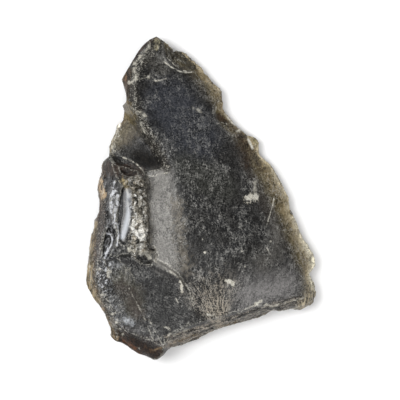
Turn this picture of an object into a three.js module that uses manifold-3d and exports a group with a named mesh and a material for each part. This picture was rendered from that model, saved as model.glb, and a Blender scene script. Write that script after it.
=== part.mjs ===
// A rough piece of obsidian, lying on its broad underside. Millimetres, +Z up; x runs across
// the stone and y along it towards the pointed tip. The origin is the middle of its box, at
// the bottom. The stone is one solid: a block with a broken outline, limited by broad faces
// and cut by flake scars, each a shallow bowl about the point where its flake was struck off.
import * as THREE from 'three';
import { mergeVertices } from 'three/addons/utils/BufferGeometryUtils.js';
import Module from 'manifold-3d';

const wasm = await Module();
wasm.setup();

// Driving dimensions
const blockHeight = 17; // the height of the block before it is broken
const rimHeight = 2.3; // the height at which the stone is widest
const footTaper = 0.06; // how far the foot of the side draws in, as a share of the half width
const facetSize = 2.6; // the length of a flat on the curved faces
const fewestRings = 3; // the rings and flats of the smallest scars
const fewestFlats = 20;
const faceReach = 90; // how far a broad face runs on past the stone
const scarRise = 30; // how far the space over a scar goes up
const weld = 1e-4; // corners closer than this are one corner

// The broken outline seen from above, clockwise from the tip.
const outline = [
  [-9.0, 32.1], [-7.0, 30.9], [-5.6, 29.8], [-5.8, 29.2], [-4.9, 29.5], [-2.0, 28.0],
  [0.2, 26.3], [0.7, 25.1], [1.7, 24.6], [3.6, 22.0], [4.5, 19.5], [4.4, 17.9],
  [6.0, 16.0], [7.3, 14.2], [10.8, 11.8], [12.4, 8.4], [15.1, 4.8], [16.2, 2.2],
  [16.9, 0.0], [18.8, -4.0], [20.6, -8.4], [22.7, -11.5], [23.2, -13.7], [21.7, -15.2],
  [22.8, -17.0], [23.2, -18.9], [22.3, -21.0], [19.5, -22.3], [14.1, -22.8], [11.6, -24.1],
  [5.0, -25.7], [2.0, -27.0], [-1.0, -28.8], [-6.2, -30.2], [-8.7, -32.3], [-9.5, -32.5],
  [-12.5, -31.4], [-16.9, -28.6], [-18.0, -27.5], [-19.3, -23.3], [-21.3, -20.9],
  [-23.3, -17.4], [-22.8, -12.5], [-22.3, -7.5], [-21.7, -6.0], [-21.7, -4.5],
  [-20.5, -3.0], [-20.5, -1.5], [-21.1, 1.5], [-19.7, 7.2], [-18.4, 8.2], [-18.5, 10.3],
  [-17.0, 14.3], [-15.8, 15.2], [-15.9, 18.2], [-15.0, 19.0], [-14.9, 20.0],
  [-15.9, 23.5], [-15.0, 25.2], [-12.6, 29.2], [-11.4, 30.7], [-10.2, 31.5],
];

// Every face and scar passes through the point `at`. `dip` is the slope of its outward side
// there and the bearing that it slopes towards, in degrees (0 is +x and 90 is +y). `curve` is
// its radius and how far it reaches around the point, and `grain` a bearing along which it is
// that many times as long.

// Broad faces, which swell outwards.
const broadFaces = {
  main: { at: [-4, -3.5, 11.6], dip: [14, 31], curve: [50, 30], grain: [-59, 4] },
  lowerMain: { at: [8, -9, 9.9], dip: [12.5, -12], curve: [70, 20], grain: [-15, 3] },
  lowerRight: { at: [8, -14, 9.6], dip: [13, -57], curve: [90, 14], grain: [25, 2] },
  leftSide: { at: [-21.3, -2, 2.9], dip: [57, 172], curve: [80, 8], grain: [82, 4] },
  leftFoot: { at: [-22.9, -16, 2.8], dip: [46, 190], curve: [80, 8], grain: [100, 3] },
  heel: { at: [-20.4, -23, 2.4], dip: [52, 208], curve: [80, 8], grain: [120, 2] },
  foot: { at: [-13, -31.5, 2.4], dip: [50, -122], curve: [80, 8], grain: [-32, 2] },
  tipSide: { at: [-13, 28.9, 4.6], dip: [55, 142], curve: [40, 6], grain: [52, 2] },
};

// The underside, which swells down to the flat spot that the stone rests on.
const belly = { at: [-2.5, -5, -0.15], dip: [0, 0], curve: [130, 40], grain: [-62, 1.7] };

// Faces that bound a scar: it stays behind them, and they stand proud of it.
const mainRidge = { at: [-10.4, 12.5, 9.7], dip: [70, 212], curve: [40, 12], grain: [122, 2] };
const crustSide = { at: [-11.2, -4, 11.2], dip: [68, 4], curve: [40, 8], grain: [94, 2] };
const upperFloor = { at: [-4, 12, 8.3], dip: [22.5, 34], curve: [60, 26], grain: [-56, 4] };

// Flake scars on the upper side. A scar with a `wall` ends in a step that leans back by that
// much for each mm that it rises. Without one the scar runs on at its last slope.
const largeScars = {
  upperFace: { at: [-4.5, 29, 0], dip: [0, -80], curve: [300, 16.5], wall: 0.4, behind: [upperFloor] },
  hollow: { at: [-10, 14, 4], dip: [25, 143], curve: [40, 9.2], wall: 0.75, behind: [mainRidge] },
  shoulder: { at: [-15, 6, 7], dip: [34, 112], curve: [30, 4.5], wall: 0.7, behind: [mainRidge] },
  band: {
    at: [-8.1, -5.5, 9.7], dip: [22, 170], curve: [40, 4.2], grain: [93, 9], behind: [crustSide, mainRidge],
  },
  crest: { at: [-9.7, 11.7, 9.6], dip: [30, 211], curve: [12, 1], grain: [122, 5], wall: 0.6 },
  crustTop: { at: [-12.7, -4.4, 11.1], dip: [14, 183], curve: [16, 1.5], grain: [92, 5.4], wall: 1.2 },
  lowerLeft: { at: [-14, -24.2, 6.7], dip: [5, -135], curve: [70, 12.8], wall: 0.35 },
  lowerMargin: { at: [-20, -22, 5.2], dip: [11, 212], curve: [60, 9], grain: [118, 1.3], wall: 0.8 },
  bottomRim: { at: [9, -25, 2.6], dip: [60, -73], curve: [300, 16], wall: 1 },
};

// Narrow facets down the left side, and the pit at their upper end.
const leftFacets = {
  gloss: { at: [-15, -3.3, 9.6], dip: [21, 170], curve: [14, 1.5], grain: [87, 3.7], wall: 0.5 },
  streak: { at: [-17.9, -1.4, 7.4], dip: [32, 172], curve: [4, 1], grain: [87, 4.6], wall: 0.6 },
  hook: { at: [-18.3, -9.3, 6.3], dip: [30, 178], curve: [3, 1], grain: [70, 2.4], wall: 0.6 },
  pit: { at: [-14.3, 5.9, 6.6], dip: [20, 150], curve: [3, 1.4], grain: [-30, 1.4], wall: 0.5 },
};

// Two flakes from one blow beside the tip, and chips down the thin right edge.
const rightChips = {
  tipOuter: { at: [-3.6, 29.3, 2], dip: [24, 40], curve: [14, 4.6], wall: 0.6 },
  tipInner: { at: [-3.2, 29.6, 1.5], dip: [24, 40], curve: [12, 3.7], wall: 0.6 },
  neck: { at: [1.6, 24.9, 1.7], dip: [20, 40], curve: [10, 2.4], grain: [-50, 1.6], wall: 0.8 },
  shoulder: { at: [6.2, 16.2, 1.8], dip: [16, 40], curve: [9, 3.2], grain: [-50, 1.3], wall: 0.7 },
  upper: { at: [11.6, 10.6, 1.9], dip: [24, 20], curve: [12, 3], grain: [-65, 1.5], wall: 0.9 },
  middle: { at: [16.8, 1.5, 2], dip: [27, 25], curve: [14, 2.6], grain: [-62, 2], wall: 1 },
  lower: { at: [21.6, -9.6, 2.1], dip: [26, 30], curve: [14, 2.6], grain: [-60, 1.8], wall: 1 },
  corner: { at: [23, -15.6, 1.9], dip: [24, 0], curve: [10, 2.6], grain: [-80, 1.4], wall: 0.8 },
  below: { at: [23.2, -19.6, 2], dip: [38, -25], curve: [12, 3], grain: [65, 1.4], wall: 0.8 },
};

// Ledges on the bottom rim, and chips round the left margin.
const rimChips = {
  ledge: { at: [4, -26.6, 2.4], dip: [48, -70], curve: [20, 1.5], grain: [17, 4.5], wall: 0.4 },
  ledgeRight: { at: [14, -23.6, 2.6], dip: [46, -76], curve: [20, 1.4], grain: [14, 4], wall: 0.4 },
  foot: { at: [-15.5, -29.6, 3], dip: [36, -125], curve: [9, 2.6], grain: [-35, 1.6], wall: 0.6 },
  heel: { at: [-21.2, -20.6, 3.2], dip: [40, 205], curve: [8, 2.4], grain: [115, 1.6], wall: 0.5 },
  side: { at: [-22.3, -11.5, 3.4], dip: [38, 185], curve: [8, 2.4], grain: [95, 1.8], wall: 0.5 },
  cheek: { at: [-20.6, 4.5, 3.8], dip: [42, 165], curve: [7, 2.6], grain: [75, 1.5], wall: 0.5 },
  notch: { at: [-16.2, 20.6, 4.6], dip: [50, 178], curve: [6, 2.6], grain: [88, 1.6], wall: 0.5 },
};

// Flake scars on the underside, which lift the edges off the surface.
const lowerScars = {
  tip: { at: [-6, 31, 2.1], dip: [8, 95], curve: [150, 18] },
  right: { at: [20, -7, 1.9], dip: [9, 28], curve: [150, 14], grain: [-62, 2] },
  shoulder: { at: [6, 17, 1.7], dip: [10, 45], curve: [80, 10], grain: [-45, 1.5] },
  left: { at: [-21.5, 1, 1.8], dip: [15, 172], curve: [60, 9], grain: [82, 2] },
  heel: { at: [-21.5, -20, 1.9], dip: [14, 205], curve: [60, 9], grain: [115, 1.6] },
  foot: { at: [-9, -31.5, 1.8], dip: [15, -100], curve: [60, 9], grain: [-10, 1.4] },
  bottom: { at: [9, -25, 1.9], dip: [18, -73], curve: [60, 9], grain: [17, 2] },
};

// The granular crust left along the highest ridge: angular grains, part sunk in the glass.
const crust = {
  from: new THREE.Vector3(-12.7, 2.8, 11.5),
  to: new THREE.Vector3(-12.3, -11.4, 11.2),
  width: 2.4,
  grains: 34,
  size: 0.95,
  sizes: [0.5, 1.3], // the least and the most, as shares of `size`
  lengths: [0.8, 1.4], // how long a grain is, as a share of its width
  tilt: 0.6, // the most that a grain leans, in radians
  sunk: 0.4, // how far a grain lies under the ridge line, as a share of its size
  seed: 7,
};

const radians = THREE.MathUtils.degToRad;

function solidOf(geometry) {
  const loose = geometry.index ? geometry.toNonIndexed() : geometry.clone();
  loose.deleteAttribute('normal');
  loose.deleteAttribute('uv');
  const merged = mergeVertices(loose, weld);
  return new wasm.Manifold(new wasm.Mesh({
    numProp: 3,
    vertProperties: merged.attributes.position.array,
    triVerts: new Uint32Array(merged.index.array),
  }));
}

function geometryOf(solid) {
  const mesh = solid.getMesh();
  const geometry = new THREE.BufferGeometry();
  geometry.setAttribute('position', new THREE.BufferAttribute(mesh.vertProperties, 3));
  geometry.setIndex(new THREE.BufferAttribute(mesh.triVerts, 1));
  return geometry;
}

// The block is the outline carried straight up, with its foot drawn in below the rim. It is
// extruded in two even steps, and then each of its three levels is put at its own height.
function blockSolid() {
  const shape = new THREE.Shape(outline.map(([x, y]) => new THREE.Vector2(x, y)));
  const heights = [0, rimHeight, blockHeight];
  const steps = heights.length - 1;
  const block = new THREE.ExtrudeGeometry(shape, { depth: steps, steps, bevelEnabled: false });
  const corners = block.attributes.position;
  for (let i = 0; i < corners.count; i++) {
    const level = Math.round(corners.getZ(i));
    const spread = level === 0 ? 1 - footTaper : 1;
    corners.setXYZ(i, corners.getX(i) * spread, corners.getY(i) * spread, heights[level]);
  }
  return solidOf(block);
}

// The arc from the middle of a curved face out to its reach, as distance out and rise.
function arcOf({ curve: [radius, reach] }) {
  const rings = Math.max(fewestRings, Math.ceil(reach / facetSize));
  const arc = [];
  for (let ring = 0; ring <= rings; ring++) {
    const angle = (reach / radius) * (ring / rings);
    arc.push(new THREE.Vector2(radius * Math.sin(angle), radius * (1 - Math.cos(angle))));
  }
  return arc;
}

// Turns a profile about the outward side of a face, stretches it along the grain and puts it
// in its place. `side` is 1 on the upper side of the stone and -1 on the underside.
function turned(profile, face, side) {
  const { at, dip: [slope, towards], curve: [, reach], grain: [bearing, stretch] = [towards, 1] } = face;
  const outward = new THREE.Vector3(
    Math.sin(radians(slope)) * Math.cos(radians(towards)),
    Math.sin(radians(slope)) * Math.sin(radians(towards)),
    Math.cos(radians(slope)) * side,
  );
  const along = new THREE.Vector3(Math.cos(radians(bearing)), Math.sin(radians(bearing)), 0);
  along.addScaledVector(outward, -along.dot(outward)).normalize();
  const across = new THREE.Vector3().crossVectors(along, outward);
  const flats = Math.max(fewestFlats, Math.ceil((Math.PI * reach) / facetSize));
  const form = new THREE.LatheGeometry(profile, flats)
    .scale(stretch, 1, 1)
    .applyMatrix4(new THREE.Matrix4().makeBasis(along, outward, across))
    .translate(...at);
  return solidOf(form);
}

// A broad face as the solid behind it: a dome that runs on as a cone past its reach.
function faceSolid(face, side = 1) {
  const [radius, reach] = face.curve;
  const arc = arcOf(face).reverse();
  const slope = Math.tan(reach / radius);
  const drop = arc[0].y + (faceReach - arc[0].x) * slope;
  const profile = [
    new THREE.Vector2(0, -drop - faceReach),
    new THREE.Vector2(faceReach, -drop - faceReach),
    new THREE.Vector2(faceReach, -drop),
    ...arc.map(({ x, y }) => new THREE.Vector2(x, -y)),
  ];
  return turned(profile, face, side);
}

// A scar as the solid that it takes away: a bowl, its wall, and the space over it.
function scarSolid(scar, side = 1) {
  const [radius, reach] = scar.curve;
  const arc = arcOf(scar);
  const edge = arc[arc.length - 1];
  const lean = scar.wall ?? 1 / Math.tan(reach / radius);
  const profile = [
    ...arc,
    new THREE.Vector2(edge.x + scarRise * lean, edge.y + scarRise),
    new THREE.Vector2(0, edge.y + scarRise),
  ];
  const bounds = scar.behind ?? [];
  return bounds.reduce((form, face) => form.subtract(faceSolid(face)), turned(profile, scar, side));
}

// Draws the same run of numbers from 0 to 1 for the same seed.
function seededDraw(seed) {
  let state = seed;
  return () => {
    state = (Math.imul(state, 1664525) + 1013904223) >>> 0;
    return state / 2 ** 32;
  };
}

function crustSolid() {
  const draw = seededDraw(crust.seed);
  const between = ([low, high]) => low + (high - low) * draw();
  const grains = [];
  for (let i = 0; i < crust.grains; i++) {
    const size = crust.size * between(crust.sizes);
    const place = crust.from.clone().lerp(crust.to, (i + draw()) / crust.grains);
    place.x += between([-crust.width / 2, crust.width / 2]);
    place.z -= crust.sunk * size;
    grains.push(new THREE.DodecahedronGeometry(size)
      .scale(1, between(crust.lengths), 1)
      .rotateZ(between([0, Math.PI]))
      .rotateX(between([0, crust.tilt]))
      .translate(place.x, place.y, place.z));
  }
  return grains.map(solidOf).reduce((joined, grain) => joined.add(grain));
}

function stoneSolid() {
  let stone = blockSolid().intersect(faceSolid(belly, -1));
  for (const face of Object.values(broadFaces)) {
    stone = stone.intersect(faceSolid(face));
  }
  for (const scars of [largeScars, leftFacets, rightChips, rimChips]) {
    for (const scar of Object.values(scars)) {
      stone = stone.subtract(scarSolid(scar));
    }
  }
  for (const scar of Object.values(lowerScars)) {
    stone = stone.subtract(scarSolid(scar, -1));
  }
  return stone.add(crustSolid());
}

const glass = new THREE.MeshStandardMaterial({ color: 0x413f3c, roughness: 0.4, metalness: 0 });
const stone = new THREE.Mesh(geometryOf(stoneSolid()), glass);
stone.name = 'rough_obsidian';

// The middle of the stone's box goes over the origin.
const box = new THREE.Box3().setFromObject(stone);
const middle = box.getCenter(new THREE.Vector3());
stone.geometry.translate(-middle.x, -middle.y, -box.min.z);

const part = new THREE.Group();
part.add(stone);

export default part;
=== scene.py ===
import bmesh
import bpy
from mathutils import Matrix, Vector


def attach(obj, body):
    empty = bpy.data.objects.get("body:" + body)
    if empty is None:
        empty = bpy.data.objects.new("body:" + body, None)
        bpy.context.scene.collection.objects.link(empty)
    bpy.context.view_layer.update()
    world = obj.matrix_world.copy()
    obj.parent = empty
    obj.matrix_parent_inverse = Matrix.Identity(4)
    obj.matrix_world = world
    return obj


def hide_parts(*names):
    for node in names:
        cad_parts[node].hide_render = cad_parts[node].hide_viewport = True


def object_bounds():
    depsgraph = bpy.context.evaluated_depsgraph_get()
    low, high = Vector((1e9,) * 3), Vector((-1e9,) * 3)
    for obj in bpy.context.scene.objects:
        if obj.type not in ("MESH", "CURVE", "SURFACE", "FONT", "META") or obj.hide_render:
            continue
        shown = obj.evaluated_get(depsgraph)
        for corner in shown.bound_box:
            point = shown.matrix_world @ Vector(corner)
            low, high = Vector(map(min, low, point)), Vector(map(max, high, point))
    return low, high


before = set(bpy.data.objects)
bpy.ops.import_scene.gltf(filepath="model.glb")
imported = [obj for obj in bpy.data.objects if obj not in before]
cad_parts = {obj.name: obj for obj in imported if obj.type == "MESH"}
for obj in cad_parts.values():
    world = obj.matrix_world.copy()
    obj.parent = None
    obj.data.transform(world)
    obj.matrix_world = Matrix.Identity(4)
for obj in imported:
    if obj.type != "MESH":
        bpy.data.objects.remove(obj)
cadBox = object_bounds()
mm = 0.001


# One value on its way through a node tree. Python's operators add the Math nodes, or the
# Vector Math nodes where a vector is in play.
class Wire:
    def __init__(self, tree, socket):
        self.tree, self.socket = tree, socket

    def __getitem__(self, name):
        return Wire(self.tree, pickSocket(self.socket.node.outputs, name))

    def isVector(self):
        return self.socket.type in ("VECTOR", "RGBA")

    def op(self, operation, *others, flip=False):
        values = [*others, self] if flip else [self, *others]
        vector = any(isinstance(v, tuple) or isinstance(v, Wire) and v.isVector() for v in values)
        kind = "ShaderNodeVectorMath" if vector else "ShaderNodeMath"
        return self.tree.add(kind, {"operation": operation}, dict(enumerate(values)))

    def __add__(self, other):
        return self.op("ADD", other)

    __radd__ = __add__

    def __sub__(self, other):
        return self.op("SUBTRACT", other)

    def __rsub__(self, other):
        return self.op("SUBTRACT", other, flip=True)

    def __mul__(self, other):
        return self.op("MULTIPLY", other)

    __rmul__ = __mul__

    def __truediv__(self, other):
        return self.op("DIVIDE", other)


def pickSocket(sockets, key):
    if isinstance(key, int):
        return sockets[key]
    return next(s for s in sockets if s.enabled and key in (s.name, s.identifier))


# A node tree to draw wires in. Settings go on a node before its sockets are looked up, because
# some of them change the sockets.
class Tree:
    def __init__(self, nodeTree):
        self.nodeTree = nodeTree

    def add(self, kind, settings=None, values=None):
        node = self.nodeTree.nodes.new(kind)
        for name, value in (settings or {}).items():
            if name == "stops":
                self.setStops(node.color_ramp, value)
            else:
                setattr(node, name, value)
        for key, value in (values or {}).items():
            socket = pickSocket(node.inputs, key)
            if isinstance(value, Wire):
                self.nodeTree.links.new(value.socket, socket)
            elif socket.type == "VECTOR" and isinstance(value, (int, float)):
                socket.default_value = (value, value, value)
            elif socket.type == "RGBA":
                socket.default_value = (*value, 1)
            else:
                socket.default_value = value
        shown = [s for s in node.outputs if s.enabled]
        return Wire(self, shown[0]) if shown else node

    # a new ramp has two stops already
    def setStops(self, ramp, stops):
        for stop in stops[2:]:
            ramp.elements.new(stop[0])
        for element, (place, colour) in zip(ramp.elements, stops):
            element.position = place
            element.color = (*colour, 1)

    # 0 before the first edge and `most` past the second
    def fade(self, value, first, second, most=1):
        return self.add("ShaderNodeMapRange", {"interpolation_type": "SMOOTHSTEP"},
                        {"Value": value, "From Min": first, "From Max": second, "To Max": most})

    def mix(self, factor, first, second):
        return self.add("ShaderNodeMix", {"data_type": "RGBA", "clamp_factor": True},
                        {"Factor": factor, "A": first, "B": second})

    # a colour made darker below 1 and lighter above it
    def shade(self, colour, amount):
        return self.add("ShaderNodeMix", {"data_type": "RGBA", "clamp_factor": False},
                        {"Factor": amount, "A": (0, 0, 0), "B": colour})

    def ramp(self, value, stops):
        return self.add("ShaderNodeValToRGB", {"stops": stops}, {0: value})["Color"]

    def noise(self, place, scale, detail=2, rough=0.5):
        return self.add("ShaderNodeTexNoise", {}, {"Vector": place, "Scale": scale, "Detail": detail,
                                                   "Roughness": rough})

    # noise that swings about 0
    def swing(self, place, scale, detail=2, rough=0.5):
        return self.noise(place, scale, detail, rough) - 0.5

    def parts(self, vector):
        split = self.add("ShaderNodeSeparateXYZ", {}, {0: vector})
        return split, split["Y"], split["Z"]

    def join(self, x, y, z=0.0):
        return self.add("ShaderNodeCombineXYZ", {}, {0: x, 1: y, 2: z})

    # the angle of a place about a point of the plan, and how far off it is
    def polar(self, level, centre):
        away = level - (*centre, 0)
        x, y = self.parts(away)[:2]
        return x.op("ARCTAN2", y), away.op("LENGTH")["Value"]

    # how far a place is from a line through points of the plan
    def offPath(self, level, points):
        if len(points) == 1:
            return level.op("DISTANCE", (*points[0], 0))["Value"]
        kind = self.nodeTree.bl_idname
        group = bpy.data.node_groups.get("offSegment" + kind) or segmentGroup(kind)
        nearest = None
        for start, end in zip(points, points[1:]):
            run = (end[0] - start[0], end[1] - start[1], 0)
            off = self.add(kind.replace("Tree", "Group"), {"node_tree": group},
                           {"Place": level, "Start": (*start, 0), "Run": run})
            nearest = off if nearest is None else nearest.op("MINIMUM", off)
        return nearest

    # for geometry: an attribute spread over its neighbours, moved points, and a stored value
    def blur(self, value, times, weight=1):
        kind = "FLOAT_VECTOR" if value.isVector() else "FLOAT"
        return self.add("GeometryNodeBlurAttribute", {"data_type": kind},
                        {"Value": value, "Iterations": times, "Weight": weight})

    def put(self, geometry, position=None, offset=None):
        moved = {"Position": position} if offset is None else {"Offset": offset}
        return self.add("GeometryNodeSetPosition", {}, {"Geometry": geometry, **moved})

    def keep(self, geometry, name, value):
        return self.add("GeometryNodeStoreNamedAttribute", {},
                        {"Geometry": geometry, "Name": name, "Value": value})


# How far a place is from the straight line from Start on along Run.
def segmentGroup(kind):
    nodeTree = bpy.data.node_groups.new("offSegment" + kind, kind)
    tree = Tree(nodeTree)
    for name in ("Place", "Start", "Run"):
        nodeTree.interface.new_socket(name, in_out="INPUT", socket_type="NodeSocketVector")
    nodeTree.interface.new_socket("Off", in_out="OUTPUT", socket_type="NodeSocketFloat")
    given = tree.add("NodeGroupInput")
    run = given["Run"]
    away = given["Place"] - given["Start"]
    share = away.op("DOT_PRODUCT", run)["Value"] / run.op("DOT_PRODUCT", run)["Value"]
    share = tree.add("ShaderNodeClamp", {}, {"Value": share})
    along = tree.add("ShaderNodeVectorMath", {"operation": "SCALE"}, {0: run, "Scale": share})
    tree.add("NodeGroupOutput", {}, {0: away.op("DISTANCE", along)["Value"]})
    return nodeTree


# The relief of the stone. Lengths are in mm and places are on the plan. Unless its note says
# otherwise, a pair of numbers says where something starts and where it is full. A scale is the
# number of a noise's waves in 1 mm.
stone = {
    "cell": 0.26,  # the size of the mesh's faces
    "offCentre": (-0.06, -0.2, 0),  # from the middle of its box to the middle of the plan
    "upperSide": (1.6, 2.2),  # the height of its upper side's relief
    "turnedUp": (-0.3, -0.1),  # how far up a normal points on its upper side
    "smoothing": 24,  # the rounds of smoothing
    "loose": (0.03, 0.006),  # how far the normals part: more than this is a ridge and isn't smoothed
    # lines along which the faces meet softly, and how far that reaches
    "softRidges": [([(-4.6, 4), (-4.2, -12)], 2.6), ([(-3.5, -5), (17.5, -18)], 6),
                   ([(-6, 9.5), (2, 12.5)], 4)],
    "softAbove": (3.5, 4.5),
    "softSmoothing": 160,  # the rounds of smoothing there
    # the depth of each kind of relief
    "swell": 0.12,
    "hackles": 0.05,
    "grit": 0.02,
    "crust": 0.7,
    "slag": 0.5,
    "chips": 0.45,
    "ripples": 0.05,
    "layers": 0.24,
    "drips": 0.3,
    "seed": 4,
    "scales": {"swell": 0.16, "hackles": 1.6, "grit": 1.2, "ragged": 0.7, "crest": 0.34, "waves": 0.62,
               "shards": 0.75, "scallops": 0.42, "nicks": 0.75},
    # hackles, from the point that they fan out from: their waves in a radian and in 1 mm outwards
    "hackleFan": (26, 0.18),
    "hackleReach": (22, 4),
    # the crust's height, its middle along the stone, where its ends sink and how deep they do, how
    # much its crest goes up and down, its highest lump, and how far all of it is sunk
    "crustForm": {"above": (8.2, 9.4), "middle": -4.5, "ends": (3.4, 8.2), "endDrop": 0.8,
                  "crest": 2.6, "top": 0.2, "sunk": 0.35},
    "crustLumps": {"scale": 0.95, "bend": 2.2, "bendScale": 1.2},  # how small, and how bent
    "chipped": (2.6, 0.5),  # the thickness of the edges that are chipped
    "rings": {"turn": 7, "reach": (5.0, 4.2)},  # radians in 1 mm, and how far they reach
    # ledges of the bottom rim: the waves along it, across it and upwards
    "ledges": (0.16, 1.1, 0.5),
    # places where the thin edge stands further out: the way it goes, the reach and the line
    "spread": [((1, 0.62, 0), 2.8, [(11, 10.9)]),
               ((1, 0.5, 0), 3.4, [(13.4, 5.8), (15.2, 2.8), (16.4, 0.4)]),
               ((0.6, 0.2, 0), 2.4, [(3.6, 21.8)]),
               ((0.35, -0.4, 0), 3, [(20.6, -21.6)]),
               ((0.25, 0.45, 0), 2, [(-3.8, 27.8)]),
               ((-0.5, 0.2, 0), 1.6, [(-16.4, 15)]),
               ((-0.45, -0.3, 0), 2, [(-17.4, -28)])],
    "spreadFull": 0.4,  # how near the line it goes all the way
    # the rays that measure the glass: how far under the surface they start and how far they go
    "rayStart": 0.03,
    "rayLength": 30,
}
# the points from which the flakes were struck
strikes = {"bottom": (4, -27), "tip": (-3, 29.6)}
# lines along the parts of the stone that have a skin of their own, and how far from the line
# their relief and their finish go
zones = {
    "crust": {"line": [(-12.8, 2.4), (-12.1, -4), (-12.4, -10), (-10.8, -11.6)],
              "relief": (2, 1.3), "skin": (2, 1.5)},
    "waves": {"line": [(-18.6, 3.6), (-17.6, -2), (-17.8, -8), (-18.8, -11)],
              "relief": (2.1, 1.1), "skin": (1.9, 1.2)},
    "glitter": {"line": [(-19, -11), (-19.3, -17), (-17.4, -22.6), (-15.2, -26.4)],
                "relief": (2.1, 1.1), "skin": (1.9, 0.9)},
    "ridgeGrit": {"line": [(-9.4, 30), (-12.6, 26), (-13.8, 21), (-12.6, 16.4), (-11, 12.4), (-8.6, 9),
                           (-7, 6)],
                  "relief": (1.3, 0.7), "skin": (1.5, 0.6)},
    "side": {"line": [(-20.4, 4.6), (-19.8, -1), (-20.6, -8), (-21.2, -15), (-19.6, -20.6),
                      (-17.4, -25)],
             "skin": (1.4, 0.6)},
    "gloss": {"line": [(-14.7, 1.3), (-14.7, -2.5), (-15.3, -6), (-16, -8.3)],
              "skin": (1.1, 0.7)},
}
# the rim along the bottom: the way it runs, and where it starts below and right of the foot
rim = {"way": (0.956, 0.292), "below": (-23.9, -24.6), "rightOfFoot": (-16.2, -15.2)}


# A copy of a CAD node with its corners joined. The node itself stays as it is.
def cleanCopy(node, name):
    mesh = node.data.copy()
    work = bmesh.new()
    work.from_mesh(mesh)
    bmesh.ops.remove_doubles(work, verts=work.verts, dist=1e-6)
    work.to_mesh(mesh)
    work.free()
    mesh.name = name
    piece = bpy.data.objects.new(name, mesh)
    bpy.context.collection.objects.link(piece)
    return piece


# The mesh as its modifiers make it, without the modifiers.
def plainMesh(piece):
    graph = bpy.context.evaluated_depsgraph_get()
    mesh = bpy.data.meshes.new_from_object(piece.evaluated_get(graph), depsgraph=graph)
    piece.modifiers.clear()
    piece.data = mesh
    return mesh


# A place on the stone, in metres and in mm, with its parts and its shadow on the plan. What else
# is found out about it is added on the way.
class Place:
    def __init__(self, tree, place):
        self.place = place
        self.plan = place * 1000 + stone["offCentre"]
        self.x, self.y, self.z = tree.parts(self.plan)
        self.level = tree.join(self.x, self.y)


# How much of a zone there is at a place: 0 off it and 1 on it.
def onZone(tree, at, name, use, ragged=0):
    return tree.fade(tree.offPath(at.level, zones[name]["line"]) + ragged, *zones[name][use])


# Where a place is along and across the bottom rim, and whether it is on it.
def bottomRim(tree, at, wavy):
    forward, sideways = rim["way"]
    along = at.x * forward + at.y * sideways
    across = at.y * forward - at.x * sideways
    onRim = tree.fade(across + wavy, *rim["below"]) * tree.fade(at.x + at.y * 0.3, *rim["rightOfFoot"])
    return along, across, onRim


# The lumps of the crust: how far a place is from the middle of its lump, and the lump's own lot.
def crustLumps(tree, at):
    form = stone["crustLumps"]
    bent = at.plan + tree.swing(at.plan, form["bendScale"], 2, 0.7) * form["bend"]
    lumps = tree.add("ShaderNodeTexVoronoi", {"feature": "F1"},
                     {"Vector": bent, "Scale": form["scale"], "Randomness": 1})
    return lumps["Distance"], tree.parts(lumps["Color"])[0]


# Curved faces are smoothed, and ridges keep their edge, apart from a few broad ones.
def smoothFaces(tree, at, given):
    parting = 1 - tree.blur(at.normal, 4).op("LENGTH")["Value"]
    loose = tree.fade(parting, *stone["loose"])
    broad = 0
    for line, reach in stone["softRidges"]:
        broad = tree.fade(tree.offPath(at.level, line), reach, reach * 0.35).op("MAXIMUM", broad)
    broad = broad * tree.fade(at.z, *stone["softAbove"])
    smooth = tree.put(given, position=tree.blur(at.place, stone["softSmoothing"], broad))
    return tree.put(smooth, position=tree.blur(at.place, given["Smoothing"], loose.op("MAXIMUM", broad)))


# Stores how thick the glass is under each point, and whether the point is on the upper side.
def measureGlass(tree, at, smooth):
    inward = at.normal * -1
    start = at.place + inward * (stone["rayStart"] * mm)
    through, up, down = [
        tree.add("GeometryNodeRaycast", {}, {
            "Target Geometry": smooth, "Source Position": start, "Ray Direction": way,
            "Ray Length": stone["rayLength"] * mm,
        })["Hit Distance"] * 1000
        for way in (inward, (0, 0, 1), (0, 0, -1))
    ]
    upperSide = tree.fade(tree.parts(at.normal)[2], *stone["turnedUp"])
    kept = tree.keep(smooth, "thickness", tree.blur(through.op("MINIMUM", up + down), 3))
    return tree.keep(kept, "upper", upperSide)


# The broad faces swell gently. Hackles fan out over them from where the stone was struck.
def faceRelief(tree, at, given):
    scale = stone["scales"]
    turn, far = tree.polar(at.level, strikes["bottom"])
    around, outward = stone["hackleFan"]
    fan = tree.join(turn * around, far * outward)
    strength = (tree.fade(far, *stone["hackleReach"]) + 0.4) * at.upper
    swell = tree.swing(at.seeded, scale["swell"], 3) * given["Swell"]
    hackles = tree.swing(fan, scale["hackles"], 3, 0.6) * given["Hackles"] * strength
    grit = tree.swing(at.seeded, scale["grit"], 3, 0.6) * given["Grit"]
    return (swell + hackles + grit) * 2


# The crust sinks away at both ends. Every lump has its own height, and is highest in its middle.
def crustRelief(tree, at, given):
    form = stone["crustForm"]
    distance, lot = crustLumps(tree, at)
    ends = tree.fade((at.y - form["middle"]).op("ABSOLUTE"), *form["ends"])
    crest = (tree.noise(at.seeded, stone["scales"]["crest"], 2) - 0.55) * form["crest"]
    lumps = (lot * 0.9 - 0.3 - distance * 1.1) * given["Crust"] + crest - ends * form["endDrop"]
    onCrust = onZone(tree, at, "crust", "relief", at.ragged) * tree.fade(at.z, *form["above"])
    return (lumps.op("MINIMUM", form["top"]) - form["sunk"]) * onCrust


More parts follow.
